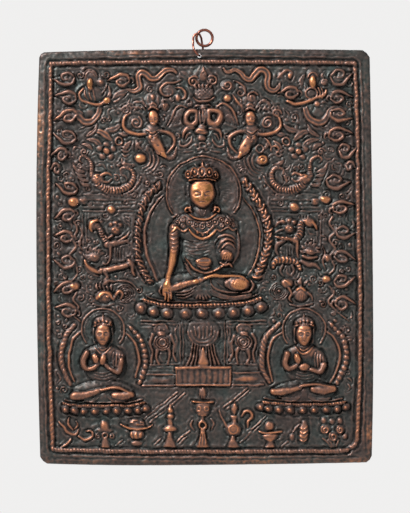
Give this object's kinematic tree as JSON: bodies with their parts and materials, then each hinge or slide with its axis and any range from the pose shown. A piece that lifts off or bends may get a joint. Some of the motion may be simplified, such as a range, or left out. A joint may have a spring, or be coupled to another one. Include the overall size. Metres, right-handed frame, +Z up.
{
  "type": "votive plaque",
  "caption": "Rectangular hammered copper wall relief with a seated deity, attendants, animals and offerings inside a rope border, hung from a wire ring.",
  "frame": {"origin": "inside top of the hanging ring, where it rests on its nail", "axes": "-Y out of the relief towards the viewer, +Z up, +X to the viewer's right"},
  "size_m": [0.2465, 0.0173, 0.3195],
  "materials": {
    "sheet_copper": "dark brown patina, worn to bare copper on the high relief",
    "wire_copper": "drawn copper wire, dull brown"
  },
  "bodies": {
    "root": {"plaque_sheet": "sheet_copper", "hanging_ring": "wire_copper", "ring_link": "wire_copper"}
  },
  "joints": []
}
